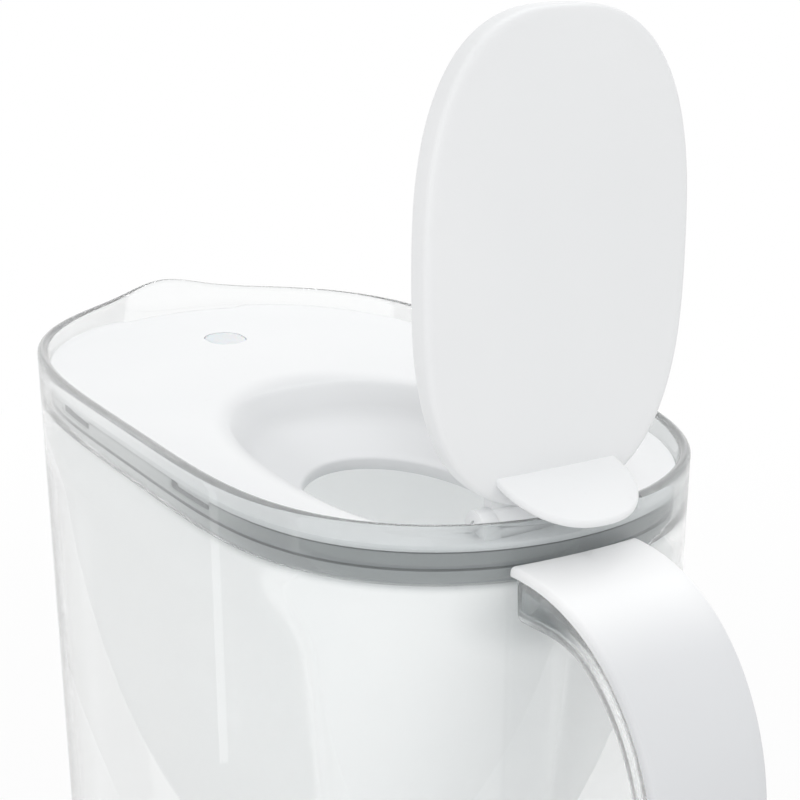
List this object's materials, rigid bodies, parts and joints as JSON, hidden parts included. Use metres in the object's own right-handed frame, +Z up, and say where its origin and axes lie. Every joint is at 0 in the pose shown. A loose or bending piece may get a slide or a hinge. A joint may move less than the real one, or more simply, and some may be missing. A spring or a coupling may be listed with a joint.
{
  "type": "water filter pitcher",
  "caption": "Clear water filter pitcher with a frosted hopper, oval cartridge, white lid and a flip lid over its filling hole.",
  "frame": {"origin": "centre of the jug's flat base, on the surface it stands on", "axes": "+X towards the handle, -X towards the pour lip, +Z up, Y across the jug"},
  "size_m": [0.2591, 0.1186, 0.3473],
  "materials": {
    "clear_plastic": "clear, polished",
    "frosted_plastic": "frosted, milky",
    "white_gloss": "smooth, satin gloss",
    "cartridge_plastic": "smooth",
    "mesh_fabric": "fine woven mesh",
    "granules": "loose dark and amber granules",
    "silicone": "soft matt",
    "circuit_board": "lacquered",
    "led_lens": "clear lens",
    "switch_black": "matt",
    "cell_steel": "polished",
    "contact_brass": "plated spring strip"
  },
  "bodies": {
    "jug": {"jug_body": "clear_plastic", "handle_channel": "clear_plastic", "handle_cover": "white_gloss"},
    "hopper": {"hopper": "frosted_plastic"},
    "cartridge": {"cartridge_shell": "cartridge_plastic", "cartridge_cap": "cartridge_plastic", "inlet_screen": "mesh_fabric", "filter_media": "granules", "outlet_screen": "mesh_fabric", "cartridge_seal": "silicone"},
    "lid": {"lid": "white_gloss", "indicator_housing": "white_gloss", "indicator_board": "circuit_board", "indicator_led": "led_lens", "indicator_switch": "switch_black", "coin_cell": "cell_steel", "battery_contact": "contact_brass", "indicator_seal": "silicone", "battery_door": "white_gloss"},
    "indicator_button": {"indicator_button": "white_gloss"},
    "flip_lid": {"flip_lid": "white_gloss"}
  },
  "joints": [
    {"name": "hopper_lift", "type": "slide", "parent": "jug", "child": "hopper", "axis": [0, 0, 1], "range_m": [0, 0.215]},
    {"name": "cartridge_lift", "type": "slide", "parent": "hopper", "child": "cartridge", "axis": [0, 0, 1], "range_m": [0, 0.08]},
    {"name": "lid_lift", "type": "slide", "parent": "hopper", "child": "lid", "axis": [0, 0, 1], "range_m": [0, 0.06]},
    {"name": "flip_lid_hinge", "type": "hinge", "parent": "lid", "child": "flip_lid", "pos_m": [0.0935, 0, 0.2465], "axis": [0, 1, 0], "range_deg": [-92, 0]},
    {"name": "indicator_press", "type": "slide", "parent": "lid", "child": "indicator_button", "axis": [0, 0, -1], "range_m": [0, 0.0008], "stiffness_N_per_m": 1500, "springref_m": -0.0004}
  ]
}
